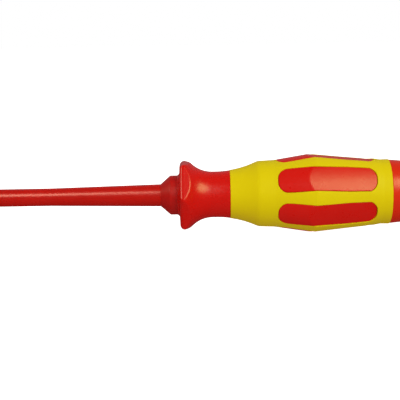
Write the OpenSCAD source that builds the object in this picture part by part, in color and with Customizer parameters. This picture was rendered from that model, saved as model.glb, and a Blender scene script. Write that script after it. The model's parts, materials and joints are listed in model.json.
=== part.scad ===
// Insulated screwdriver with a moulded handle. All sizes are in millimetres.
// The tool lies along X. The origin is the blade's tip, on the tool's own axis, +X runs to the
// handle's end, and +Z is square to one of the six grip pads. Nothing moves: the sleeve, the
// guard, the barrel, the pads and the cap are moulded on, so their hidden faces touch.

/* [Blade] */
// Diameter of the round steel shank
shank_d = 6; // [5:0.5:7]
// Length of blade in front of the handle
free_len = 100; // [75:5:200]
// Length of steel left bare at the tip
bare_len = 16; // [12:1:18]
// Length of blade inside the handle
tang_len = 78; // [72:1:95]
// Thickness of the tip's flat wings
wing_t = 1; // [0.8:0.1:1.2]
// Diameter of the tip's flat end
point_d = 2.2; // [1.6:0.1:2.6]
// Angle between the tip's cone and the axis
point_angle = 28; // [24:1:35]
// Length of the four flutes behind the tip
flute_len = 7; // [6:0.5:9]
// Distance from the tip to the front edge of its wide flat wings
slot_setback = 1.2; // [0.8:0.1:2]
// Width across the anchor wings pressed in the buried end
anchor_w = 9; // [8:0.5:12]
// Thickness of the anchor wings
anchor_t = 2; // [1.5:0.25:3]
// Length of each pair of anchor wings
anchor_len = 8; // [5:1:10]
// Depth of the grooves that hold the sleeve
groove_depth = 0.3; // [0.2:0.05:0.5]
// Width of those grooves
groove_w = 1.5; // [1:0.25:3]

/* [Sleeve on the blade] */
// Wall of the sleeve on its straight front length
sleeve_wall = 1; // [0.8:0.1:1.6]
// Diameter of the sleeve where it enters the handle
root_d = 10.1; // [9.6:0.1:11]
// Length of the taper in front of the handle
taper_len = 50.6; // [30:0.2:55]
// Chamfer on the sleeve's front edge
sleeve_chamfer = 0.4; // [0.2:0.1:0.7]
// Length of the sleeve inside the handle
sleeve_inside = 18; // [12:1:20]
// Height of the collar that locks the sleeve in the core
collar_h = 0.6; // [0.4:0.1:1]
// Length of that collar
collar_len = 3; // [2:0.5:5]

/* [Nose] */
// Diameter of the nose where the sleeve enters it
nose_front_d = 10.2; // [10.2:0.1:11.6]
// Diameter of the nose in front of the guard
nose_d = 17.9; // [17.6:0.1:19]
// Length of the nose's cone
nose_cone_len = 4.4; // [3:0.1:5]
// Length of the nose's cylinder
nose_cyl_len = 3.2; // [2:0.1:6]

/* [Guard and waist] */
// Width across the guard's six flats
guard_flats = 29.46; // [26:0.1:31]
// Diameter over the guard's corners
guard_d = 34; // [32:0.1:36]
// Rounding of the guard's corners towards the blade
guard_round = 2.4; // [1:0.1:2.6]
// Rounding of the flats' front edges
flat_round = 1.2; // [0.6:0.1:2]
// Length of the small flare from the nose to the guard
flare_len = 0.8; // [0.4:0.1:1.5]
// Rise of that flare
flare_h = 0.7; // [0.3:0.1:1.5]
// Angle between the guard's back and the axis
flank_angle = 41; // [38:1:50]
// Radius of the hollow behind the guard
hollow_r = 13.4; // [10:0.1:16]
// Distance from the guard's front to the end of that hollow
guard_len = 15.1; // [14:0.1:20]
// Diameter of the waist
waist_d = 20.88; // [20:0.1:25]
// Straight length of the waist
waist_len = 1.6; // [1:0.1:6]
// Radius of the long hollow from the waist to the shoulder
rise_r = 43.6; // [36:0.1:60]
// Distance from the waist to the seam with the barrel
seam_len = 6.4; // [4:0.1:9]

/* [Barrel] */
// How far the barrel stands proud of the waist at the seam
seam_step = 0.13; // [0.05:0.01:0.3]
// Distance from the waist to the barrel's front bend
bend_len = 26.5; // [24:0.1:30]
// Diameter at the front bend
bend_d = 30.46; // [29:0.1:33]
// Angle between the axis and the stretch from the shoulder to the bend
shoulder_angle = 2.4; // [1:0.1:5]
// Distance from the front bend to the crest
front_len = 18; // [14:0.1:22]
// Diameter at the crest
crest_d = 36.16; // [30:0.02:44]
// Distance from the crest to the rear ring
rear_len = 30.1; // [28:0.1:40]
// Diameter where the rear ring starts
ring_d = 29.3; // [28.5:0.1:33]
// Width of the rear ring
ring_w = 3.9; // [2:0.1:8]
// How much wider the rear ring is at the cap
ring_flare = 0.14; // [0:0.02:1]
// Wall of the barrel over the core where it is thinnest
barrel_wall = 2.65; // [2:0.05:3.5]

/* [Pads] */
// Angle that each pad takes up around the axis
pad_angle = 41.8; // [34:0.2:42]
// Distance from the front bend to the pads
pad_setback = 1.05; // [0.5:0.05:4]
// Length of a pad
pad_len = 44; // [38:0.1:46]
// Corner radius of a pad's ends
pad_corner = 5; // [3:0.1:5.2]
// Radius of the gentle crown on the pads' rear facets
pad_crown = 43; // [30:1:80]
// How far the edges of the rear facets lie under the barrel's skin
pad_sink = 0.15; // [0:0.05:0.4]
// Thickness of the hidden flange around a pad
flange_t = 1; // [0.6:0.1:1.5]
// How far the flange reaches beyond the pad
flange_w = 1; // [0.5:0.1:1.1]
// Depth of the core's flats under the pads
land_depth = 0.6; // [0.3:0.1:1]

/* [End cap] */
// Step down from the barrel to the cap
cap_step = 0.2; // [0.05:0.05:0.5]
// Length of the cap behind the barrel
cap_len = 16.4; // [12:0.1:25]
// Angle between the cap's side and the axis
cap_angle = 5.5; // [0:0.5:10]
// Rounding of the cap's edge
cap_round = 5; // [2:0.5:6]
// Height of the dome on the cap's end
cap_dome = 0.8; // [0.4:0.1:2]

/* [Core] */
// Wall of the guard over the core at the waist
waist_wall = 2.4; // [2:0.1:3]
// Wall of the guard's spigot under the barrel
spigot_wall = 1.6; // [1:0.1:1.8]
// Length of the guard's spigot under the barrel
spigot_len = 5.5; // [3:0.5:8]
// Length of the core's cone behind that spigot
cone_len = 13; // [8:0.5:15]
// Diameter of the core's stub inside the cap
stub_d = 18; // [14:0.5:20]
// Length of the stub behind the barrel
stub_len = 8.4; // [6:0.1:9]
// Depth of the locking groove round the stub
lock_depth = 0.8; // [0.4:0.1:1.2]
// Width of that groove
lock_w = 2; // [1:0.5:3]
// Number of keys under the guard, and on the stub
key_count = 3; // [2:1:6]
// Height of a key
key_h = 0.9; // [0.5:0.1:1.2]
// Width of a key
key_w = 3; // [2:0.5:4]

/* [Hidden] */
$fn = 96;

steel = "#8f9194";
insulation_red = "#c81000";
core_red = "#b00d00";
guard_red = "#cc1200";
barrel_yellow = "#dccb00";

// How far a cutting shape runs past what it cuts
over = 1;
// Lateral reach of a block that is wider than the whole handle
reach = crest_d + guard_d;
pad_count = 6;
pad_pitch = 360 / pad_count;
groove_count = 3;
// How far the wide wings lie under the shank's skin
wing_inset = 0.05;
// How far the round corners of a pad's plan start outside its long sides
corner_ease = 0.1;
half_pad = pad_angle / 2;

// Places along the axis, from the tip to the handle's end
x_nose = free_len;
x_nose_cyl = x_nose + nose_cone_len;
x_flare = x_nose_cyl + nose_cyl_len;
x_guard = x_flare + flare_len;
x_hollow = x_guard + guard_len;
x_waist = x_hollow + waist_len;
x_seam = x_waist + seam_len;
x_bend = x_waist + bend_len;
x_crest = x_bend + front_len;
x_ring = x_crest + rear_len;
x_cap = x_ring + ring_w;
x_end = x_cap + cap_len;
x_pad = x_bend + pad_setback;
x_pad_end = x_pad + pad_len;
x_spigot = x_seam + spigot_len;
x_stub = x_cap + stub_len;
x_tang = free_len + tang_len;

// Radii
shank_r = shank_d / 2;
point_len = (shank_d - point_d) / 2 / tan(point_angle);
sleeve_r = shank_r + sleeve_wall;
root_r = root_d / 2;
nose_r = nose_d / 2;
guard_r = guard_d / 2;
waist_r = waist_d / 2;
bend_r = bend_d / 2;
crest_r = crest_d / 2;
ring_r = ring_d / 2;
ring_end_r = ring_r + ring_flare / 2;
cap_r = ring_end_r - cap_step;
neck_core_r = waist_r - waist_wall;
spigot_r = neck_core_r + spigot_wall;
core_r = min(bend_r, ring_r) - barrel_wall;
stub_r = stub_d / 2;
cap_end_r = cap_r - cap_len * tan(cap_angle);

// The point where the guard's back runs into the hollow behind it
flank_foot_r = waist_r + hollow_r * (1 - cos(flank_angle));
flank_foot_x = x_hollow - hollow_r * sin(flank_angle);
flank_top_x = flank_foot_x - (guard_r - flank_foot_r) / tan(flank_angle);

// The height where the stretch from the shoulder to the bend would meet the seam
shoulder_r = bend_r - (x_bend - x_seam) * tan(shoulder_angle);

function mix(a, b, t) = a + (b - a) * t;

// Radius of the barrel between its front bend and its rear ring
function barrel_r(x) =
    x < x_crest
    ? mix(bend_r, crest_r, (x - x_bend) / front_len)
    : mix(crest_r, ring_r, (x - x_crest) / rear_len);

// Height above the axis of the ridge that runs along the middle of a pad's rear facet
function pad_ridge(x) =
    barrel_r(x) * cos(half_pad) - pad_sink + (barrel_r(x) * sin(half_pad)) ^ 2 / (2 * pad_crown);

// A solid turned about the tool's axis from an outline of [radius, place along the axis]
module turned() {
    rotate([0, 90, 0])
        rotate_extrude()
            children();
}

// The part of the outline between two places along the axis, out to a radius
module band(x_from, x_to, r_to) {
    translate([0, x_from])
        square([r_to, x_to - x_from]);
}

// Keys that stand round a shaft of radius r
module keys(x_from, x_to, r) {
    for (i = [0 : key_count - 1])
        rotate([i * 360 / key_count, 0, 0])
            translate([x_from, -key_w / 2, 0])
                cube([x_to - x_from, key_w, r + key_h]);
}

// Blade: one flute's square-cornered cut, its edge rising from the wing to the shank's skin
module flute() {
    start = wing_t / sqrt(2);
    rise = atan((shank_r - start) / flute_len);
    translate([0, 0, start])
        rotate([0, -rise, 0])
            rotate([45, 0, 0])
                translate([-over, 0, 0])
                    cube([2 * flute_len, shank_d, shank_d]);
}

module blade_outline() {
    pitch = taper_len / groove_count;
    difference() {
        polygon([[0, 0], [point_d / 2, 0], [shank_r, point_len], [shank_r, x_tang], [0, x_tang]]);
        for (i = [0 : groove_count - 1])
            translate([shank_r - groove_depth, x_nose - (i + 0.5) * pitch])
                square([groove_depth + over, groove_w]);
    }
}

// The two wings that stay flat and wide, to turn a slotted screw too
module slot_wings() {
    half = shank_r * cos(asin(wing_t / shank_d)) - wing_inset;
    translate([slot_setback, -wing_t / 2, -half])
        cube([flute_len, wing_t, 2 * half]);
}

module anchor_wings(x, turn) {
    rotate([turn, 0, 0])
        translate([x, -anchor_t / 2, -anchor_w / 2])
            cube([anchor_len, anchor_t, anchor_w]);
}

module blade() {
    color(steel)
    union() {
        difference() {
            turned() blade_outline();
            for (i = [0 : 3])
                rotate([45 + 90 * i, 0, 0])
                    flute();
        }
        slot_wings();
        anchor_wings(x_tang - 3.5 * anchor_len, 0);
        anchor_wings(x_tang - 2 * anchor_len, 90);
    }
}

// Sleeve: straight in front, then a long taper, with a collar locked in the core
module sleeve_outline() {
    x_collar = x_nose + sleeve_inside / 2;
    polygon([[0, bare_len], [sleeve_r - sleeve_chamfer, bare_len],
             [sleeve_r, bare_len + sleeve_chamfer], [sleeve_r, x_nose - taper_len],
             [root_r, x_nose], [root_r, x_nose + sleeve_inside], [0, x_nose + sleeve_inside]]);
    band(x_collar, x_collar + collar_len, root_r + collar_h);
}

module blade_insulation() {
    color(insulation_red)
    difference() {
        turned() sleeve_outline();
        blade();
    }
}

// Core: everything inside the handle, before the blade and its sleeve are taken out
module core_outline() {
    polygon([[0, x_nose], [nose_front_d / 2, x_nose], [nose_r, x_nose_cyl], [nose_r, x_flare],
             [neck_core_r, x_flare], [neck_core_r, x_spigot], [spigot_r, x_spigot],
             [core_r, x_spigot + cone_len], [core_r, x_ring], [stub_r, x_ring],
             [stub_r, x_stub], [0, x_stub]]);
}

module core_lands() {
    for (i = [0 : pad_count - 1])
        rotate([i * pad_pitch, 0, 0])
            translate([x_pad, -core_r, core_r - land_depth])
                cube([pad_len, 2 * core_r, core_r]);
}

module lock_groove() {
    turned()
        translate([stub_r - lock_depth, x_cap + (stub_len - lock_w) / 2])
            square([lock_depth + over, lock_w]);
}

module core_shape() {
    difference() {
        union() {
            turned() core_outline();
            keys(x_guard + over, x_waist, neck_core_r);
            keys(x_ring - over, x_stub - over, stub_r);
        }
        core_lands();
        lock_groove();
    }
}

module handle_core() {
    color(core_red)
    difference() {
        core_shape();
        turned() sleeve_outline();
        blade();
    }
}

// Guard: a turned rim cut to six flats, the hollow waist behind it and the spigot
module guard_outline() {
    difference() {
        union() {
            polygon([[0, x_flare], [nose_r, x_flare], [nose_r + flare_h, x_guard],
                     [guard_r - guard_round, x_guard], [guard_r, x_guard + guard_round],
                     [guard_r, flank_top_x], [flank_foot_r, flank_foot_x], [waist_r, x_hollow],
                     [waist_r, x_waist], [shoulder_r, x_seam], [0, x_seam]]);
            translate([guard_r - guard_round, x_guard + guard_round])
                circle(guard_round);
        }
        translate([waist_r + hollow_r, x_hollow])
            circle(hollow_r);
        intersection() {
            translate([waist_r + rise_r, x_waist])
                circle(rise_r);
            band(x_waist, x_seam + over, guard_r);
        }
    }
}

// A block between two opposite flats, with rounded front edges
module flats_block() {
    half = guard_flats / 2;
    rotate([90, 0, 0])
        linear_extrude(reach, center = true) {
            translate([x_flare, -half + flat_round])
                square([x_seam - x_flare + over, 2 * (half - flat_round)]);
            translate([x_guard + flat_round, -half])
                square([x_seam - x_guard - flat_round + over, 2 * half]);
            for (side = [-1, 1])
                translate([x_guard + flat_round, side * (half - flat_round)])
                    circle(flat_round);
        }
}

module guard_shape() {
    intersection() {
        turned() guard_outline();
        flats_block();
        rotate([pad_pitch, 0, 0]) flats_block();
        rotate([-pad_pitch, 0, 0]) flats_block();
    }
    turned() band(x_waist, x_spigot, spigot_r);
}

module front_guard() {
    color(guard_red)
    difference() {
        guard_shape();
        core_shape();
    }
}

// Pads: a pad's plan between radial sides, with round corners at both ends
module pad_plan(grow) {
    half = barrel_r(x_pad + pad_corner) * sin(half_pad) + corner_ease + grow;
    corner = pad_corner + grow;
    translate([x_pad - grow + corner, -reach / 2])
        square([pad_len + 2 * grow - 2 * corner, reach]);
    for (x = [x_pad - grow + corner, x_pad_end + grow - corner]) {
        translate([x - corner, -half + corner])
            square([2 * corner, 2 * (half - corner)]);
        for (side = [-1, 1])
            translate([x, side * (half - corner)])
                circle(corner);
    }
}

// Everything above one pad's plan, between two planes through the axis
module pad_column(grow, height) {
    spread = half_pad + asin(grow / core_r);
    intersection() {
        linear_extrude(height)
            pad_plan(grow);
        rotate([90, 0, 90])
            translate([0, 0, x_pad - grow - over])
                linear_extrude(pad_len + 2 * (grow + over))
                    polygon([[0, 0], [height * tan(spread), height],
                             [-height * tan(spread), height]]);
    }
}

// Everything under a pad's rear facet: a leaning cylinder that falls towards the cap
module facet_block() {
    fall = atan((pad_ridge(x_crest) - pad_ridge(x_pad_end)) / (x_pad_end - x_crest));
    translate([x_crest, 0, pad_ridge(x_crest)])
        rotate([0, 90 + fall, 0])
            translate([pad_crown, 0, 0])
                cylinder(r = pad_crown, h = 3 * pad_len, center = true);
}

module pad_flange() {
    intersection() {
        pad_column(flange_w, crest_r);
        turned() band(x_pad - pad_corner, x_pad_end + pad_corner, core_r + flange_t);
    }
}

module grip_pad(number) {
    color(insulation_red)
    rotate([(number - 1) * pad_pitch, 0, 0])
        difference() {
            union() {
                intersection() {
                    pad_column(0, crest_r + over);
                    turned() barrel_outline();
                    facet_block();
                }
                pad_flange();
            }
            core_shape();
        }
}

// Barrel: turned outside, open at the six windows and hollow where the core and spigots lie
module barrel_outline() {
    difference() {
        polygon([[0, x_seam], [shoulder_r, x_seam], [bend_r, x_bend], [crest_r, x_crest],
                 [ring_r, x_ring], [ring_end_r, x_cap], [0, x_cap]]);
        translate([waist_r + rise_r, x_waist])
            circle(rise_r - seam_step);
    }
}

module grip_body() {
    color(barrel_yellow)
    difference() {
        turned() barrel_outline();
        core_shape();
        turned() band(x_waist, x_spigot, spigot_r);
        turned() band(x_ring, x_cap + over, core_r);
        for (i = [0 : pad_count - 1])
            rotate([i * pad_pitch, 0, 0]) {
                pad_column(0, reach);
                pad_flange();
            }
    }
}

// Cap: a slightly tapering side, a rounded edge and a shallow dome
module cap_outline() {
    dome_r = (cap_end_r ^ 2 + cap_dome ^ 2) / (2 * cap_dome);
    x_edge = x_end - cap_dome - cap_round;
    edge_r = cap_r - (x_edge - x_cap) * tan(cap_angle);
    intersection() {
        union() {
            polygon([[0, x_ring], [core_r, x_ring], [core_r, x_cap], [cap_r, x_cap],
                     [edge_r, x_edge], [edge_r - cap_round, x_end], [0, x_end]]);
            translate([edge_r - cap_round, x_edge])
                circle(cap_round);
            translate([0, x_edge])
                square([edge_r - cap_round, cap_round + cap_dome]);
        }
        translate([0, x_end - dome_r])
            circle(dome_r);
    }
}

module end_cap() {
    color(guard_red)
    difference() {
        turned() cap_outline();
        core_shape();
    }
}

blade();
blade_insulation();
handle_core();
front_guard();
grip_body();
grip_pad(1);  // grip_pad_1
grip_pad(2);  // grip_pad_2
grip_pad(3);  // grip_pad_3
grip_pad(4);  // grip_pad_4
grip_pad(5);  // grip_pad_5
grip_pad(6);  // grip_pad_6
end_cap();
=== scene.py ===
"""Looks of an insulated screwdriver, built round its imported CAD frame.

The tool lies along X with its blade's tip at the origin. Meshes are worked out in millimetres
and stored in metres. An angle round the axis is measured from +Z towards -Y, so that grip pad
number n is centred on (n - 1) times 60 degrees.
"""

import json
import math

import bmesh
import bpy
import numpy as np
from mathutils import Matrix, Vector


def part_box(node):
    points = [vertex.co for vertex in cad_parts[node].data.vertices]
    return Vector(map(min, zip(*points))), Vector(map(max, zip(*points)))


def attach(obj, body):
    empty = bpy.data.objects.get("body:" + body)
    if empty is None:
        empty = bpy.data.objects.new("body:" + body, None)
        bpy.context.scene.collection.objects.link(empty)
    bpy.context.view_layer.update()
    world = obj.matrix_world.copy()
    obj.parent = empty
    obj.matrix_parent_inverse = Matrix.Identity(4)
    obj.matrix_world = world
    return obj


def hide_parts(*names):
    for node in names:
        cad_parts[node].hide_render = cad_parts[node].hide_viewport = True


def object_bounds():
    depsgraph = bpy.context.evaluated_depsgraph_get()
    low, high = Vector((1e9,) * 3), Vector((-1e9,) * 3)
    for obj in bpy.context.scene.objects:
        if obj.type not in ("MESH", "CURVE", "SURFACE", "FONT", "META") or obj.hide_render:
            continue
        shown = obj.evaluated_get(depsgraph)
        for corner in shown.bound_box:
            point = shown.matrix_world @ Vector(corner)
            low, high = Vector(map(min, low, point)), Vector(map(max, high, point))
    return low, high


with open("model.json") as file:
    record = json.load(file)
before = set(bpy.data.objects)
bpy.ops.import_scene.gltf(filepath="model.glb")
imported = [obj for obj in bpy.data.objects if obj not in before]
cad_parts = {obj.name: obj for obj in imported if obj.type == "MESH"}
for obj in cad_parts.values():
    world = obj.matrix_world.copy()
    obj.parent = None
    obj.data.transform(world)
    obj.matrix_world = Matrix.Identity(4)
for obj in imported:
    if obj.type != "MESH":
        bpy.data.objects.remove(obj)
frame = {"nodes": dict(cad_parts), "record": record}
cad_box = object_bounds()

MM = 0.001


# ---------------------------------------------------------------- sizes, in millimetres

def span(node):
    """Lowest and highest corner of a CAD node, in millimetres."""
    low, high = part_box(node)
    return low / MM, high / MM


mounts = {mount["name"]: mount for mount in frame["record"]["mounts"]}
sleeve_low, sleeve_high = span("blade_insulation")
core_low, core_high = span("handle_core")
guard_low, guard_high = span("front_guard")
barrel_low, barrel_high = span("grip_body")
pad_low, pad_high = span("grip_pad_1")
cap_low, cap_high = span("end_cap")

# Places along the axis that the frame gives
X_SLEEVE = sleeve_low.x
X_NOSE = core_low.x
X_SLEEVE_END = sleeve_high.x
X_FLARE = guard_low.x
X_SPIGOT = guard_high.x
X_SEAM = barrel_low.x
X_CAP = barrel_high.x
X_RING = cap_low.x
X_END = cap_high.x
X_STUB = core_high.x
X_GUARD = mounts["rack_seat"]["pos_m"][0] / MM

# Radii that the frame gives
SLEEVE_R = mounts["insulated_shank"]["dims"]["r_mm"]
NOSE_R = mounts["nose"]["dims"]["r_mm"]
GUARD_R = guard_high.y
FLATS_R = guard_high.z
CREST_R = barrel_high.y

# Sizes of the CAD model that no node's box shows
SHANK_R = 3.0
ROOT_R = 5.05
TAPER_LEN = 50.6
TANG_LEN = 78.0
NOSE_FRONT_R = 5.1
NOSE_CONE_LEN = 4.4
FLARE_H = 0.7
GUARD_ROUND = 2.4
FLANK_ANGLE = math.radians(41)
HOLLOW_R = 13.4
GUARD_LEN = 15.1
WAIST_R = 10.44
WAIST_LEN = 1.6
RISE_R = 43.6
SEAM_STEP = 0.13
BEND_LEN = 26.5
BEND_R = 15.23
SHOULDER_ANGLE = math.radians(2.4)
FRONT_LEN = 18.0
RING_R = 14.65
RING_END_R = 14.72
CORE_R = 12.0
NECK_CORE_R = 8.04
SPIGOT_R = 9.64
CONE_LEN = 13.0
STUB_R = 9.0
FLANGE_W = 1.0
PAD_HALF = math.radians(20.9)
PAD_CORNER = 5.0
PAD_CROWN = 43.0
PAD_SINK = 0.15
CAP_STEP = 0.2
CAP_ANGLE = math.radians(5.5)
CAP_ROUND = 5.0
CAP_DOME = 0.8

X_NOSE_CYL = X_NOSE + NOSE_CONE_LEN
X_HOLLOW = X_GUARD + GUARD_LEN
X_WAIST = X_HOLLOW + WAIST_LEN
X_BEND = X_WAIST + BEND_LEN
X_CREST = X_BEND + FRONT_LEN
X_PAD = pad_low.x + FLANGE_W
X_PAD_END = pad_high.x - FLANGE_W
X_TANG = X_NOSE + TANG_LEN

# Play between neighbouring moulded pieces
PLAY = 0.02

# Number of pads round the axis, and the angle from one to the next
PADS = 6
SECTOR = 2 * math.pi / PADS

# Roundings that only this guard has: on its rim towards the handle, and where its flats cut the
# turned rim. The flats' front edges are rounder here than in the CAD model, where it is 1.2.
BACK_ROUND = 0.8
FLAT_EDGE = 0.3
FLAT_ROUND = 2.0

# How far the guard's front leans back over each millimetre outwards
FACE_SLOPE = 0.05

# How much the barrel swells over a straight cone, how far before the pads' rear ends it does,
# and how much the pads' facets rise at those ends with it
REAR_SWELL = 0.42
SWELL_SETBACK = 4.5
FACET_LIFT = 0.4
SWELL_PLACE = X_PAD_END - SWELL_SETBACK

# Small roundings that a mould leaves on the barrel's edges and on the pads' edges
EDGE = 0.2
PAD_EDGE = 0.35

# Gap round a pad, and how far a sector of the barrel's mesh runs past its pad
WINDOW_GAP = 0.1
WINDOW_MARGIN = 1.3

# How finely the meshes are cut
SEGMENTS = 144
GUARD_SEGMENTS = 360
END_STEPS = 20
SIDE_STEPS = 110

# Longest stretch of an outline between two rows of a lathed piece
ROW_STEP = 2.5

# Radii smaller than this count as a pole on the axis
ON_AXIS = 1e-9


# ---------------------------------------------------------------- outlines and meshes

def filleted(corners, steps=6):
    """A polyline through (x, r, radius) corners, each rounded by its radius."""
    points = []
    for i, (x, r, radius) in enumerate(corners):
        here = np.array((x, r), float)
        if radius == 0 or i in (0, len(corners) - 1):
            points.append(here)
            continue
        back = np.array(corners[i - 1][:2], float) - here
        on = np.array(corners[i + 1][:2], float) - here
        back /= np.linalg.norm(back)
        on /= np.linalg.norm(on)
        half = math.acos(np.clip(back @ on, -1, 1)) / 2
        centre = here + (back + on) / np.linalg.norm(back + on) * radius / math.sin(half)
        start = here + back * radius / math.tan(half) - centre
        turn = math.pi - 2 * half
        if start[0] * back[1] - start[1] * back[0] > 0:
            turn = -turn
        for k in range(steps + 1):
            c = math.cos(turn * k / steps)
            s = math.sin(turn * k / steps)
            points.append(centre + (start[0] * c - start[1] * s, start[0] * s + start[1] * c))
    return np.array(points)


def dense(points, step):
    """The same polyline with extra points, so that no stretch is longer than step."""
    result = [points[0]]
    for a, b in zip(points[:-1], points[1:]):
        count = max(1, math.ceil(np.linalg.norm(b - a) / step))
        result += [a + (b - a) * k / count for k in range(1, count + 1)]
    return np.array(result)


def circle_arc(centre, radius, x_from, x_to, count):
    """Points on the lower side of a circle, between two places along the axis."""
    x = np.linspace(x_from, x_to, count)
    return np.column_stack((x, centre[1] - np.sqrt(radius ** 2 - (x - centre[0]) ** 2)))


def wrap(x, radius, angle):
    """Points in metres from a place along the axis, a radius and an angle round it."""
    return np.stack((x, -radius * np.sin(angle), radius * np.cos(angle)), axis=-1) * MM


def new_piece(name, vertices, faces, material, sharp=40):
    """A smooth-shaded object that rides on the tool's one body."""
    mesh = bpy.data.meshes.new(name)
    mesh.from_pydata(np.asarray(vertices).tolist(), [], faces)
    mesh.validate()
    mesh.shade_smooth()
    mesh.set_sharp_from_angle(angle=math.radians(sharp))
    mesh.materials.append(material)
    piece = bpy.data.objects.new(name, mesh)
    bpy.context.scene.collection.objects.link(piece)
    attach(piece, "root")
    return piece


def bridge(first, second):
    """Quads between two closed rows of vertex numbers."""
    count = len(first)
    return [(first[k], first[(k + 1) % count], second[(k + 1) % count], second[k])
            for k in range(count)]


def is_pole(radius):
    """Whether a row is a single point on the axis."""
    return np.ndim(radius) == 0 and abs(radius) < ON_AXIS


def revolve(name, rows, material, segments=SEGMENTS, loop=False):
    """A closed solid from rows of points: each row is (x, radii round the axis).

    The rows run from pole to pole, or come back to the first row where loop is set.
    """
    angles = np.arange(segments) * 2 * math.pi / segments
    vertices = []
    rings = []
    for x, radius in rows:
        start = len(vertices)
        if is_pole(radius):
            vertices.append((x * MM, 0, 0))
        else:
            ring = wrap(np.broadcast_to(x, segments), np.broadcast_to(radius, segments), angles)
            vertices.extend(ring)
        rings.append(range(start, len(vertices)))
    faces = []
    pairs = list(zip(rings[:-1], rings[1:]))
    if loop:
        pairs.append((rings[-1], rings[0]))
    for first, second in pairs:
        if len(first) == 1:
            faces += [(first[0], second[(k + 1) % segments], second[k]) for k in range(segments)]
        elif len(second) == 1:
            faces += [(first[k], first[(k + 1) % segments], second[0]) for k in range(segments)]
        else:
            faces += bridge(first, second)
    return new_piece(name, vertices, faces, material)


def lathe(name, points, material, loop=False):
    """A round solid turned from an outline of (x, radius) points."""
    return revolve(name, [(x, r) for x, r in points], material, loop=loop)


def round_max(a, b, radius):
    """The greater of two distances, with the edge between them rounded."""
    outside = np.hypot(np.maximum(a + radius, 0), np.maximum(b + radius, 0))
    return np.minimum(-radius, np.maximum(a, b)) + outside


# ---------------------------------------------------------------- materials

def linear(code):
    """A colour for a shader from its usual hexadecimal code."""
    parts = [int(code[i:i + 2], 16) / 255 for i in (0, 2, 4)]
    return [c / 12.92 if c <= 0.04045 else ((c + 0.055) / 1.055) ** 2.4 for c in parts] + [1]


def noise(nodes, links, coords, scale, detail=4, roughness=0.5):
    """A noise texture in object space; scale is in repeats over a metre."""
    texture = nodes.new("ShaderNodeTexNoise")
    texture.inputs["Scale"].default_value = scale
    texture.inputs["Detail"].default_value = detail
    texture.inputs["Roughness"].default_value = roughness
    links.new(coords, texture.inputs["Vector"])
    return texture.outputs["Fac"]


def remap(nodes, links, value, low, high, start=0.3, end=0.7):
    """A value mapped from one range to another, held at both ends."""
    node = nodes.new("ShaderNodeMapRange")
    node.inputs["From Min"].default_value = start
    node.inputs["From Max"].default_value = end
    node.inputs["To Min"].default_value = low
    node.inputs["To Max"].default_value = high
    links.new(value, node.inputs["Value"])
    return node.outputs["Result"]


def blend_colours(nodes, links, value, first, second):
    """A mix of two colours by a value from 0 to 1."""
    node = nodes.new("ShaderNodeMix")
    node.data_type = "RGBA"
    node.inputs["A"].default_value = first
    node.inputs["B"].default_value = second
    links.new(value, node.inputs["Factor"])
    return node.outputs["Result"]


# Scales of the plastics' noises, in repeats over a metre
DRIFT_SCALE = 55
PATCH_SCALE = 140
WAVES_SCALE = 110


def moulded_plastic(name, colour, mottle, specular, rough, grain, grain_height, waves_height):
    """Moulded plastic: slow colour drift, satin patches, fine spark-eroded grain, sink waves."""
    material = bpy.data.materials.new(name)
    material.use_nodes = True
    nodes = material.node_tree.nodes
    links = material.node_tree.links
    shader = nodes["Principled BSDF"]
    coords = nodes.new("ShaderNodeTexCoord").outputs["Object"]
    drift = remap(nodes, links, noise(nodes, links, coords, DRIFT_SCALE, 3), 0, 1)
    links.new(blend_colours(nodes, links, drift, linear(colour), linear(mottle)),
              shader.inputs["Base Color"])
    patches = noise(nodes, links, coords, PATCH_SCALE, 5, 0.6)
    links.new(remap(nodes, links, patches, rough[0], rough[1]), shader.inputs["Roughness"])
    shader.inputs["Specular IOR Level"].default_value = specular
    shader.inputs["IOR"].default_value = 1.5

    fine = nodes.new("ShaderNodeBump")
    fine.inputs["Distance"].default_value = grain_height * MM
    fine.inputs["Strength"].default_value = 1
    links.new(noise(nodes, links, coords, grain, 2), fine.inputs["Height"])
    waves = nodes.new("ShaderNodeBump")
    waves.inputs["Distance"].default_value = waves_height * MM
    waves.inputs["Strength"].default_value = 1
    links.new(noise(nodes, links, coords, WAVES_SCALE, 0), waves.inputs["Height"])
    links.new(waves.outputs["Normal"], fine.inputs["Normal"])
    links.new(fine.outputs["Normal"], shader.inputs["Normal"])
    return material


def ground_steel(name):
    """Hardened steel: grinding lines across the shank and a grey, slightly blotched finish."""
    material = bpy.data.materials.new(name)
    material.use_nodes = True
    nodes = material.node_tree.nodes
    links = material.node_tree.links
    shader = nodes["Principled BSDF"]
    shader.inputs["Metallic"].default_value = 1
    coords = nodes.new("ShaderNodeTexCoord").outputs["Object"]
    stretch = nodes.new("ShaderNodeMapping")
    across_the_shank = (9, 1, 1)
    stretch.inputs["Scale"].default_value = across_the_shank
    links.new(coords, stretch.inputs["Vector"])
    lines = noise(nodes, links, stretch.outputs["Vector"], 900, 6, 0.7)
    blotch = noise(nodes, links, coords, 260, 5, 0.6)
    links.new(blend_colours(nodes, links, remap(nodes, links, blotch, 0, 1),
                            linear("8C8C8E"), linear("B4B3B0")), shader.inputs["Base Color"])
    links.new(remap(nodes, links, lines, 0.22, 0.42), shader.inputs["Roughness"])
    bump = nodes.new("ShaderNodeBump")
    bump.inputs["Distance"].default_value = 0.01 * MM
    bump.inputs["Strength"].default_value = 1
    links.new(lines, bump.inputs["Height"])
    links.new(bump.outputs["Normal"], shader.inputs["Normal"])
    return material


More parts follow.
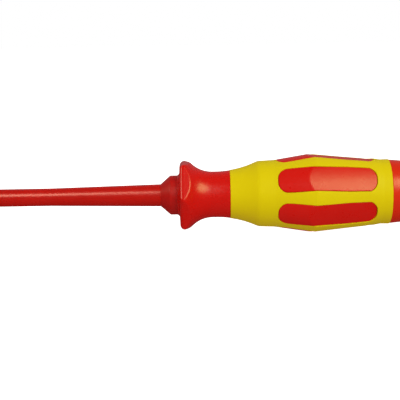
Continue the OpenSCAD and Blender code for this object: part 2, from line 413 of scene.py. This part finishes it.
steel = ground_steel("ground_steel")
sleeve_red = moulded_plastic(
    "sleeve_red", colour="CD0D00", mottle="C80C00", specular=0.5, rough=(0.24, 0.28),
    grain=2600, grain_height=0.0003, waves_height=0.002)
# The nose's red is the moulding's own red with painted shade in it: it is set darker than the guard's
# red to stand for the shade under the guard's rim.
nose_red = moulded_plastic(
    "nose_red", colour="C80600", mottle="C20500", specular=0.4, rough=(0.34, 0.42),
    grain=2600, grain_height=0.001, waves_height=0.004)
guard_red = moulded_plastic(
    "guard_red", colour="E10B00", mottle="DD0A00", specular=0.5, rough=(0.24, 0.30),
    grain=2600, grain_height=0.0006, waves_height=0.005)
pad_red = moulded_plastic(
    "pad_red", colour="E50E00", mottle="E10D00", specular=0.5, rough=(0.26, 0.32),
    grain=2600, grain_height=0.0006, waves_height=0.005)
cap_red = moulded_plastic(
    "cap_red", colour="EA2A00", mottle="E62800", specular=0.5, rough=(0.26, 0.32),
    grain=2600, grain_height=0.0006, waves_height=0.005)
barrel_yellow = moulded_plastic(
    "barrel_yellow", colour="EBDB00", mottle="E7D700", specular=0.12, rough=(0.44, 0.52),
    grain=2200, grain_height=0.002, waves_height=0.006)


# ---------------------------------------------------------------- blade, sleeve and nose

def add_blade():
    """The CAD blade keeps its own mesh and gets the steel."""
    blade = frame["nodes"]["blade"]
    blade.data.materials.clear()
    blade.data.materials.append(steel)


def add_sleeve():
    """The sleeve: rounded front edge, straight stretch, and a taper that starts softly."""
    bore_round = 0.1
    front_round = 0.45
    taper_round = 30
    outline = filleted([(X_SLEEVE_END, SHANK_R + PLAY, 0), (X_SLEEVE, SHANK_R + PLAY, bore_round),
                        (X_SLEEVE, SLEEVE_R, front_round),
                        (X_NOSE - TAPER_LEN, SLEEVE_R, taper_round),
                        (X_NOSE, ROOT_R, 0), (X_SLEEVE_END, ROOT_R, 0)])
    sleeve = lathe("blade_sleeve", dense(outline, ROW_STEP), sleeve_red, loop=True)
    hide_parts("blade_insulation")


def add_core():
    """The core with the stepped nose that shows in front of the guard."""
    bore = ROOT_R + PLAY
    tang = SHANK_R + PLAY
    neck = NECK_CORE_R - PLAY
    spigot = SPIGOT_R - PLAY
    nose_round = 0.7
    outline = filleted([(X_TANG, 0, 0), (X_TANG, tang, 0), (X_SLEEVE_END, tang, 0),
                        (X_SLEEVE_END, bore, 0), (X_NOSE, bore, 0),
                        (X_NOSE, NOSE_FRONT_R, 0), (X_NOSE_CYL, NOSE_R, nose_round),
                        (X_FLARE, NOSE_R, 0),
                        (X_FLARE, neck, 0), (X_SPIGOT, neck, 0), (X_SPIGOT, spigot, 0),
                        (X_SPIGOT + CONE_LEN, CORE_R - PLAY, 0), (X_RING - PLAY, CORE_R - PLAY, 0),
                        (X_RING - PLAY, STUB_R, 0), (X_STUB, STUB_R, 0), (X_STUB, 0, 0)])
    core = lathe("handle_core_and_nose", dense(outline, ROW_STEP), nose_red)
    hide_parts("handle_core")


# ---------------------------------------------------------------- guard and waist

# Foot of the guard's sloping back, where the hollow begins
FOOT_X = X_HOLLOW - HOLLOW_R * math.sin(FLANK_ANGLE)
FOOT_R = WAIST_R + HOLLOW_R * (1 - math.cos(FLANK_ANGLE))

# Ring inside the rim that rays start from: its place behind the guard's front, its radius,
# how far the rays reach, and how often the search halves them
RIM_DEPTH = 6
RIM_RING_R = 8
RIM_REACH = 14.0
RIM_HALVINGS = 40


def guard_distance(x, r, angle):
    """Distance from the guard's rim, which is round, has six flats and a sloping back."""
    off_flat = (angle + SECTOR / 2) % SECTOR - SECTOR / 2
    front = X_GUARD + FACE_SLOPE * (r - NOSE_R - FLARE_H) - x
    back = (r - FOOT_R) * math.cos(FLANK_ANGLE) + (x - FOOT_X) * math.sin(FLANK_ANGLE)
    turned = round_max(round_max(front, r - GUARD_R, GUARD_ROUND), back, BACK_ROUND)
    flat = round_max(front, r * np.cos(off_flat) - FLATS_R, FLAT_ROUND)
    return round_max(turned, flat, FLAT_EDGE)


def guard_rim(count, angles):
    """Rows of (x, radius) points over the rim, found along rays from a ring inside it."""
    inside = (X_GUARD + RIM_DEPTH, RIM_RING_R)
    first = math.atan2(NOSE_R + FLARE_H - inside[1], X_GUARD - inside[0])
    last = math.atan2(FOOT_R - inside[1], FOOT_X - inside[0])
    direction = np.linspace(first, last, count)[:, None]
    near = np.zeros((count, len(angles)))
    far = np.full((count, len(angles)), RIM_REACH)
    for _ in range(RIM_HALVINGS):
        middle = (near + far) / 2
        out = guard_distance(inside[0] + middle * np.cos(direction),
                             inside[1] + middle * np.sin(direction), angles) > 0
        far = np.where(out, middle, far)
        near = np.where(out, near, middle)
    return inside[0] + near * np.cos(direction), inside[1] + near * np.sin(direction)


def add_guard():
    """Guard and waist as one shell, from the bore over flare, rim, hollow and waist to the spigot."""
    rim_rows = 90
    rows_under_flare = 4
    hollow_rows = 28
    rise_rows = 12
    waist_step = 0.8
    bore_step = 2.5
    flare_round = 0.5
    face_start = 2
    seam_round = 0.06
    angles = np.arange(GUARD_SEGMENTS) * 2 * math.pi / GUARD_SEGMENTS
    rim_x, rim_r = guard_rim(rim_rows, angles)
    hollow = circle_arc((X_HOLLOW, WAIST_R + HOLLOW_R), HOLLOW_R, FOOT_X, X_HOLLOW,
                        hollow_rows)
    waist = dense(np.array([(X_HOLLOW, WAIST_R), (X_WAIST, WAIST_R)]), waist_step)
    rise = circle_arc((X_WAIST, WAIST_R + RISE_R), RISE_R, X_WAIST, X_SEAM - PLAY,
                      rise_rows)
    ends = filleted([tuple(rise[-2]) + (0,), tuple(rise[-1]) + (seam_round,),
                     (X_SEAM - PLAY, SPIGOT_R, 0),
                     (X_SPIGOT - PLAY, SPIGOT_R, 0), (X_SPIGOT - PLAY, NECK_CORE_R, 0),
                     (X_FLARE + PLAY, NECK_CORE_R, 0), (X_FLARE + PLAY, NOSE_R + PLAY, 0)])
    flare = filleted([(X_FLARE + PLAY, NOSE_R + PLAY, 0), (X_GUARD, NOSE_R + FLARE_H, flare_round),
                      (X_GUARD, NOSE_R + FLARE_H + face_start, 0)])
    rows = [(x, r) for x, r in flare[:-1]]
    rows += [(rim_x[k], rim_r[k]) for k in range(rows_under_flare, rim_rows - 1)]
    rows += [(x, r) for x, r in np.vstack((hollow, waist[1:], rise[1:-1]))]
    rows += [(x, r) for x, r in dense(ends[1:], bore_step)[:-1]]
    guard = revolve("front_guard_shell", rows, guard_red, GUARD_SEGMENTS, loop=True)
    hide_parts("front_guard")


# ---------------------------------------------------------------- barrel and pads

def barrel_profile():
    """The barrel's outline as places along the axis and radii, with its bends eased."""
    bend_round = 8
    crest_round = 2
    ring_round = 3
    samples = 1200
    shoulder_r = BEND_R - (X_BEND - X_SEAM) * math.tan(SHOULDER_ANGLE)
    swell_r = np.interp(SWELL_PLACE, (X_CREST, X_RING), (CREST_R, RING_R)) + REAR_SWELL
    lines = filleted([(X_SEAM, shoulder_r, 0), (X_BEND, BEND_R, bend_round),
                      (X_CREST, CREST_R, crest_round), (SWELL_PLACE, swell_r, bend_round),
                      (X_RING, RING_R, ring_round), (X_CAP, RING_END_R, 0)], steps=8)
    x = np.linspace(X_SEAM, X_CAP, samples)
    line_r = np.interp(x, lines[:, 0], lines[:, 1])
    hollow = RISE_R - SEAM_STEP
    hollow_r = WAIST_R + RISE_R - np.sqrt(np.maximum(hollow ** 2 - (x - X_WAIST) ** 2, 0))
    blend = 0.5
    gap = np.clip((hollow_r - line_r) / blend, -1, 1)
    return x, np.minimum(line_r, hollow_r) - blend * (1 - abs(gap)) ** 2 / 4


PROFILE_X, PROFILE_R = barrel_profile()


def barrel_r(x):
    """Radius of the barrel's skin."""
    return np.interp(x, PROFILE_X, PROFILE_R)


def plan_r(x):
    """Radius of the barrel without eased bends or swell, which the pads' plan is drawn on."""
    return np.interp(x, (X_BEND, X_CREST, X_RING), (BEND_R, CREST_R, RING_R))


def facet_r(x, angle):
    """Radius of a pad's rear facet: a crowned strip that leans towards the cap."""
    def ridge(place):
        half = plan_r(place) * math.sin(PAD_HALF)
        return plan_r(place) * math.cos(PAD_HALF) - PAD_SINK + half ** 2 / (2 * PAD_CROWN)
    fall = (ridge(X_CREST) - ridge(X_PAD_END) - FACET_LIFT) / (X_PAD_END - X_CREST)
    height = ridge(X_CREST) - fall * (x - X_CREST)
    radius = height / np.cos(angle)
    for _ in range(4):
        across = radius * np.sin(angle)
        drop = PAD_CROWN - np.sqrt(PAD_CROWN ** 2 - across ** 2)
        radius = (height - drop) / np.cos(angle)
    return radius


def pad_r(x, angle):
    """Radius of a pad's face: flush with the barrel in front, its facet behind."""
    soft = 0.05
    skin = barrel_r(x)
    facet = facet_r(x, angle)
    gap = np.clip((facet - skin) / soft, -1, 1)
    return np.minimum(skin, facet) - soft * (1 - abs(gap)) ** 2 / 4


def half_outline():
    """One half of a pad's outline, as rows of (x, arc length) from front tip to rear tip.

    It is cut into front end, side and rear end, in the middle of the round corners.
    """
    spare = 0.1
    half = plan_r(X_PAD + PAD_CORNER) * math.sin(PAD_HALF) + spare
    end_points = 9
    turn_points = 60
    side_points = 198
    turn = np.linspace(0, math.pi / 2, turn_points)
    bow = half - PAD_CORNER + PAD_CORNER * np.sin(turn)
    flat = np.linspace(0, half - PAD_CORNER, end_points + 1)[:-1]
    side = np.linspace(X_PAD + PAD_CORNER, X_PAD_END - PAD_CORNER, side_points + 2)[1:-1]
    x = np.concatenate((np.full(end_points, X_PAD),
                        X_PAD + PAD_CORNER * (1 - np.cos(turn)),
                        side,
                        X_PAD_END - PAD_CORNER * (1 - np.cos(turn[::-1])),
                        np.full(end_points, X_PAD_END)))
    across = np.concatenate((flat, bow, np.full(side_points, half), bow[::-1], flat[::-1]))
    skin = plan_r(x)
    angle = np.minimum(np.arcsin(across / skin), PAD_HALF)
    points = np.column_stack((x, angle * skin))
    length = np.concatenate(([0], np.cumsum(np.hypot(*np.diff(points, axis=0).T))))
    mid_corner = end_points + turn_points // 2
    cuts = [0, length[mid_corner], length[-1 - mid_corner], length[-1]]
    wanted = [np.linspace(cuts[0], cuts[1], END_STEPS + 1)[:-1],
              np.linspace(cuts[1], cuts[2], SIDE_STEPS + 1)[:-1],
              np.linspace(cuts[2], cuts[3], END_STEPS + 1)]
    wanted = np.concatenate(wanted)
    return np.column_stack([np.interp(wanted, length, points[:, k]) for k in (0, 1)])


HALF = half_outline()
AROUND = 2 * (len(HALF) - 1)


def outline(grow):
    """The whole outline moved outwards by grow, as rows of (x, angle).

    It runs from the front tip along the + side to the rear tip and back along the - side.
    """
    step = np.gradient(HALF, axis=0)
    step[0] = (0, 1)
    step[-1] = (0, -1)
    normal = np.column_stack((-step[:, 1], step[:, 0]))
    normal /= np.linalg.norm(normal, axis=1)[:, None]
    moved = HALF + grow * normal
    moved[0, 1] = 0
    moved[-1, 1] = 0
    half = np.column_stack((moved[:, 0], moved[:, 1] / plan_r(moved[:, 0])))
    other = half[-2:0:-1] * (1, -1)
    return np.vstack((half, other))


def frame_outline(x_from, x_to):
    """The outline of a sector's rectangle, with as many points as a pad's outline."""
    edge = SECTOR / 2
    half = [(x_from, edge * k / END_STEPS) for k in range(END_STEPS)]
    half += [(x_from + (x_to - x_from) * k / SIDE_STEPS, edge) for k in range(SIDE_STEPS)]
    half += [(x_to, edge * (1 - k / END_STEPS)) for k in range(END_STEPS + 1)]
    half = np.array(half)
    return np.vstack((half, half[-2:0:-1] * (1, -1)))


def coons(rim):
    """A grid of (x, angle) that fills a closed outline given from its front tip round."""
    rim = np.vstack((rim, rim[:1]))
    front = np.vstack((rim[AROUND - END_STEPS:AROUND], rim[:END_STEPS + 1]))
    plus = rim[END_STEPS:END_STEPS + SIDE_STEPS + 1]
    rear_start = END_STEPS + SIDE_STEPS
    rear = rim[rear_start:rear_start + 2 * END_STEPS + 1][::-1]
    minus_start = rear_start + 2 * END_STEPS
    minus = rim[minus_start:minus_start + SIDE_STEPS + 1][::-1]
    u = np.linspace(0, 1, SIDE_STEPS + 1)[:, None, None]
    v = np.linspace(0, 1, 2 * END_STEPS + 1)[None, :, None]
    sides = (1 - v) * minus[:, None] + v * plus[:, None]
    ends = (1 - u) * front[None] + u * rear[None]
    corners = ((1 - u) * (1 - v) * front[0] + (1 - u) * v * front[-1]
               + u * (1 - v) * rear[0] + u * v * rear[-1])
    return sides + ends - corners


def grid_rim(start):
    """Vertex numbers round a Coons grid in the order that an outline runs."""
    rows = SIDE_STEPS + 1
    columns = 2 * END_STEPS + 1

    def number(i, j):
        return start + i * columns + j
    rim = [number(0, j) for j in range(END_STEPS, columns)]
    rim += [number(i, columns - 1) for i in range(1, rows)]
    rim += [number(rows - 1, j) for j in range(columns - 2, -1, -1)]
    rim += [number(i, 0) for i in range(rows - 2, -1, -1)]
    rim += [number(0, j) for j in range(1, END_STEPS)]
    return rim


def grid_faces(start, flip):
    """Quads of a Coons grid whose first vertex number is start."""
    columns = 2 * END_STEPS + 1
    faces = []
    for i in range(SIDE_STEPS):
        for j in range(columns - 1):
            a = start + i * columns + j
            quad = (a, a + 1, a + columns + 1, a + columns)
            faces.append(quad[::-1] if flip else quad)
    return faces


def add_pad(number):
    """A pad as one block from the core to its face, with a rounded edge round the face."""
    centre = (number - 1) * SECTOR
    clear = 0.05
    floor = CORE_R + clear
    quarter = np.linspace(0, math.pi / 2, 6)
    top = coons(outline(-PAD_EDGE))
    vertices = list(wrap(top[..., 0], pad_r(top[..., 0], top[..., 1]),
                         centre + top[..., 1]).reshape(-1, 3))
    faces = grid_faces(0, False)
    row = grid_rim(0)
    levels = [(-PAD_EDGE * (1 - math.sin(b)), PAD_EDGE * (1 - math.cos(b))) for b in quarter[1:]]
    for grow, drop in levels:
        edge = outline(grow)
        radius = pad_r(edge[:, 0], edge[:, 1]) - drop
        start = len(vertices)
        vertices += list(wrap(edge[:, 0], radius, centre + edge[:, 1]))
        faces += bridge(list(range(start, start + AROUND)), row)
        row = list(range(start, start + AROUND))
    bottom = coons(outline(0))
    start = len(vertices)
    vertices += list(wrap(bottom[..., 0], np.full(bottom.shape[:2], floor),
                          centre + bottom[..., 1]).reshape(-1, 3))
    faces += grid_faces(start, True)
    faces += bridge(grid_rim(start), row)
    pad = new_piece(f"grip_pad_{number}_face", vertices, faces, pad_red)
    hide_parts(f"grip_pad_{number}")


def sector_rings():
    """Rings of (x, angle, radius) from a window's inner edge out to its sector's border."""
    skin_rows = 13
    spread = 1.2
    x_from = X_PAD - WINDOW_MARGIN
    x_to = X_PAD_END + WINDOW_MARGIN
    border = frame_outline(x_from, x_to)
    inner = CORE_R + PLAY
    hole = outline(WINDOW_GAP)
    rings = [np.column_stack((border, np.full(AROUND, inner))),
             np.column_stack((hole, np.full(AROUND, inner)))]
    wall_depths = (1.4, 0.7)
    for drop in wall_depths:
        rings.append(np.column_stack((hole, barrel_r(hole[:, 0]) - drop)))
    for turn in np.linspace(math.pi / 2, 0, 5):
        edge = outline(WINDOW_GAP + EDGE * (1 - math.sin(turn)))
        rings.append(np.column_stack((edge, barrel_r(edge[:, 0]) - EDGE * (1 - math.cos(turn)))))
    skin = outline(WINDOW_GAP + EDGE)
    for t in np.linspace(0, 1, skin_rows)[1:] ** spread:
        place = skin + (border - skin) * t
        rings.append(np.column_stack((place, barrel_r(place[:, 0]))))
    return rings


def add_barrel():
    """The barrel: six sectors with a window each, and a round stretch before and behind them."""
    lip = 0.5
    front_rows = 48
    rear_rows = 12
    rings = sector_rings()
    vertices = []
    faces = []
    for sector in range(PADS):
        rows = []
        for ring in rings:
            start = len(vertices)
            vertices += list(wrap(ring[:, 0], ring[:, 2], sector * SECTOR + ring[:, 1]))
            rows.append(list(range(start, start + AROUND)))
        for first, second in zip(rows[:-1], rows[1:]):
            faces += bridge(first, second)
    x_from = X_PAD - WINDOW_MARGIN
    x_to = X_PAD_END + WINDOW_MARGIN
    inner_front = filleted([(x_from, CORE_R + PLAY, 0), (X_SPIGOT + CONE_LEN, CORE_R + PLAY, 0),
                            (X_SPIGOT, SPIGOT_R + PLAY, 0), (X_SEAM + PLAY, SPIGOT_R + PLAY, 0),
                            (X_SEAM + PLAY, barrel_r(X_SEAM), EDGE / 2),
                            (X_SEAM + lip, barrel_r(X_SEAM + lip), 0)])
    front_x = np.linspace(X_SEAM + lip, x_from, front_rows)
    front = np.vstack((inner_front, np.column_stack((front_x, barrel_r(front_x)))[1:]))
    rear_x = np.linspace(x_to, X_CAP - lip, rear_rows)
    rear = np.vstack((np.column_stack((rear_x, barrel_r(rear_x))),
                      filleted([(X_CAP - lip, barrel_r(X_CAP - lip), 0),
                                (X_CAP - PLAY, barrel_r(X_CAP), EDGE),
                                (X_CAP - PLAY, CORE_R + PLAY, 0), (x_to, CORE_R + PLAY, 0)])[1:]))
    segments = 2 * END_STEPS * PADS
    angles = np.arange(segments) * 2 * math.pi / segments
    for part in (front, rear):
        rows = []
        for x, r in part:
            start = len(vertices)
            vertices += list(wrap(np.full(segments, x), np.full(segments, r), angles))
            rows.append(range(start, len(vertices)))
        for first, second in zip(rows[:-1], rows[1:]):
            faces += bridge(first, second)
    barrel = new_piece("grip_barrel", vertices, faces, barrel_yellow)
    weld(barrel)
    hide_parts("grip_body")


def weld(piece):
    """Joins the vertices that neighbouring stretches of a mesh share."""
    mesh = bmesh.new()
    mesh.from_mesh(piece.data)
    bmesh.ops.remove_doubles(mesh, verts=mesh.verts, dist=0.0005 * MM)
    bmesh.ops.recalc_face_normals(mesh, faces=mesh.faces)
    mesh.to_mesh(piece.data)
    mesh.free()
    piece.data.shade_smooth()
    piece.data.set_sharp_from_angle(angle=math.radians(40))


# ---------------------------------------------------------------- end cap

def add_cap():
    """The cap, hollow over the core's stub, with a rounded edge and a shallow domed end."""
    front_round = 0.2
    edge_over = 0.2
    edge_round = CAP_ROUND - 0.6
    dome_round = 60
    round_steps = 14
    side_r = barrel_r(X_CAP) - CAP_STEP
    x_edge = X_END - CAP_DOME
    edge_r = side_r - (x_edge - X_CAP) * math.tan(CAP_ANGLE)
    half_way = (X_END - 0.25, edge_r * 0.45, dome_round)
    points = filleted([(X_STUB + PLAY, 0, 0), (X_STUB + PLAY, STUB_R + PLAY, 0),
                       (X_RING + PLAY, STUB_R + PLAY, 0), (X_RING + PLAY, CORE_R, 0),
                       (X_CAP, CORE_R, 0), (X_CAP, side_r, front_round),
                       (x_edge + edge_over, edge_r, edge_round), half_way, (X_END, 0, 0)],
                      round_steps)
    cap = lathe("end_cap_shell", dense(points, ROW_STEP), cap_red)
    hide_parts("end_cap")


# ---------------------------------------------------------------- stage, lights and camera

VIEW_ELEVATION = math.radians(8.647)
VIEW_AZIMUTH = math.radians(0.046)
VIEW_ROLL = math.radians(1.01)
VIEW_DISTANCE = 509.87
AIM_X = 117.787
AIM_DROP = 2.474
LENS = 100.63

ahead = Vector((math.sin(VIEW_AZIMUTH) * math.cos(VIEW_ELEVATION),
                math.cos(VIEW_AZIMUTH) * math.cos(VIEW_ELEVATION), -math.sin(VIEW_ELEVATION)))
right = Vector((math.cos(VIEW_AZIMUTH), -math.sin(VIEW_AZIMUTH), 0))
up = right.cross(ahead)


def add_camera():
    """A long lens a little above the tool, rolled by a degree."""
    data = bpy.data.cameras.new("camera")
    data.lens = LENS
    data.sensor_width = 36
    data.clip_start = 0.01
    data.clip_end = 20
    camera = bpy.data.objects.new("camera", data)
    bpy.context.scene.collection.objects.link(camera)
    aim = Vector((AIM_X, 0, 0)) - up * AIM_DROP
    side = right * math.cos(VIEW_ROLL) - up * math.sin(VIEW_ROLL)
    top = right * math.sin(VIEW_ROLL) + up * math.cos(VIEW_ROLL)
    place = (aim - ahead * VIEW_DISTANCE) * MM
    turn = Matrix((side, top, -ahead)).transposed().to_4x4()
    camera.matrix_world = Matrix.Translation(place) @ turn
    bpy.context.scene.camera = camera


def add_softbox(name, azimuth, elevation, distance, size, power, colour=(1, 1, 1)):
    """A rectangular soft light, placed by its angles from the line between object and camera."""
    data = bpy.data.lights.new(name, "AREA")
    data.shape = "RECTANGLE"
    data.size = size[0]
    data.size_y = size[1]
    data.energy = power
    data.color = colour
    light = bpy.data.objects.new(name, data)
    bpy.context.scene.collection.objects.link(light)
    az = math.radians(azimuth)
    el = math.radians(elevation)
    way = (-ahead * math.cos(el) * math.cos(az) + right * math.cos(el) * math.sin(az)
           + up * math.sin(el))
    target = Vector((AIM_X, 0, 0)) * MM
    light.location = target + way * distance
    light.rotation_euler = way.to_track_quat("Z", "Y").to_euler()
    light.visible_camera = False
    return light


def shine_on(light, names):
    """Keeps a highlight to some of the pieces, as a flag beside a softbox would."""
    pieces = bpy.data.collections.new(light.name + "_pieces")
    for name in names:
        pieces.objects.link(bpy.data.objects[name])
    light.light_linking.receiver_collection = pieces
    light.visible_diffuse = False


def add_lights():
    """A broad key for the form, and softboxes that only show as highlights."""
    key = add_softbox("key", azimuth=17, elevation=24, distance=1.6, size=(1.0, 1.0),
                      power=11.6, colour=(1, 1.08, 1))
    key.visible_glossy = False
    moulded = ["blade_sleeve", "handle_core_and_nose", "front_guard_shell", "grip_barrel",
               "end_cap_shell"]
    moulded += [f"grip_pad_{number}_face" for number in range(1, PADS + 1)]
    left_box = add_softbox("softbox_left", azimuth=-30, elevation=31, distance=0.7,
                           size=(0.46, 0.3), power=4.4, colour=(0.8, 0.58, 0.4))
    shine_on(left_box, ["blade_sleeve"])
    right_box = add_softbox("softbox_right", azimuth=43, elevation=27, distance=0.78,
                            size=(0.52, 0.42), power=4.1, colour=(0.55, 0.98, 0.42))
    shine_on(right_box, moulded)
    edge_box = add_softbox("softbox_edges", azimuth=-72, elevation=28, distance=0.7,
                           size=(0.16, 0.3), power=1.1, colour=(0.8, 0.7, 0.5))
    shine_on(edge_box, ["handle_core_and_nose", "front_guard_shell"])
    for name, azimuth in (("softbox_steel_front", -20), ("softbox_steel_rear", 160)):
        steel_box = add_softbox(name, azimuth=azimuth, elevation=36, distance=0.9,
                                size=(1.3, 0.9), power=7)
        shine_on(steel_box, [frame["nodes"]["blade"].name])


def add_world():
    """White behind everything, an even fill for diffuse light, and a darker room to reflect.

    What the tool reflects is brighter behind and above it, as with a pale sheet behind an object.
    """
    world = bpy.data.worlds.new("studio")
    bpy.context.scene.world = world
    world.use_nodes = True
    nodes = world.node_tree.nodes
    links = world.node_tree.links
    nodes.clear()
    output = nodes.new("ShaderNodeOutputWorld")
    path = nodes.new("ShaderNodeLightPath")
    split = nodes.new("ShaderNodeSeparateXYZ")
    links.new(nodes.new("ShaderNodeTexCoord").outputs["Generated"], split.inputs["Vector"])

    def background(colour, strength):
        node = nodes.new("ShaderNodeBackground")
        node.inputs["Color"].default_value = colour + (1,)
        node.inputs["Strength"].default_value = strength
        return node

    def choose(chooser, first, second):
        node = nodes.new("ShaderNodeMixShader")
        links.new(chooser, node.inputs["Fac"])
        links.new(first, node.inputs[1])
        links.new(second, node.inputs[2])
        return node.outputs["Shader"]

    front_glow = 0.01
    rear_glow = 0.24
    low_share = 0.25
    reflected = background((1, 1, 1), 1)
    product = nodes.new("ShaderNodeMath")
    product.operation = "MULTIPLY"
    rearwards = remap(nodes, links, split.outputs["Y"], front_glow, rear_glow, 0.1, 0.95)
    upwards = remap(nodes, links, split.outputs["Z"], low_share, 1.0, -0.2, 0.2)
    links.new(rearwards, product.inputs[0])
    links.new(upwards, product.inputs[1])
    links.new(product.outputs["Value"], reflected.inputs["Strength"])
    warm_white = (1, 0.81, 0.72)
    fill = background(warm_white, 0.54)
    seen = background((1, 1, 1), 1)
    unseen = choose(path.outputs["Is Diffuse Ray"], reflected.outputs[0], fill.outputs[0])
    links.new(choose(path.outputs["Is Camera Ray"], unseen, seen.outputs[0]),
              output.inputs["Surface"])


def add_floor():
    """A plain floor under the tool, which glows so that it reads as a white sheet."""
    low = cad_box[0].z
    reach = 6
    mesh = bpy.data.meshes.new("floor")
    corners = [(-reach, -reach, low), (reach, -reach, low),
               (reach, reach, low), (-reach, reach, low)]
    mesh.from_pydata(corners, [], [(0, 1, 2, 3)])
    floor = bpy.data.objects.new("floor", mesh)
    bpy.context.scene.collection.objects.link(floor)
    material = bpy.data.materials.new("pale_floor")
    material.use_nodes = True
    shader = material.node_tree.nodes["Principled BSDF"]
    shader.inputs["Base Color"].default_value = (0.8, 0.8, 0.8, 1)
    shader.inputs["Roughness"].default_value = 0.9
    shader.inputs["Specular IOR Level"].default_value = 0
    shader.inputs["Emission Color"].default_value = (1, 1, 1, 1)
    shader.inputs["Emission Strength"].default_value = 1.1
    mesh.materials.append(material)
    floor.visible_diffuse = False
    floor.visible_glossy = False


add_blade()
add_sleeve()
add_core()
add_guard()
add_barrel()
for number in range(1, PADS + 1):
    add_pad(number)
add_cap()
add_camera()
add_lights()
add_world()
add_floor()
bpy.context.scene.view_settings.view_transform = "Standard"
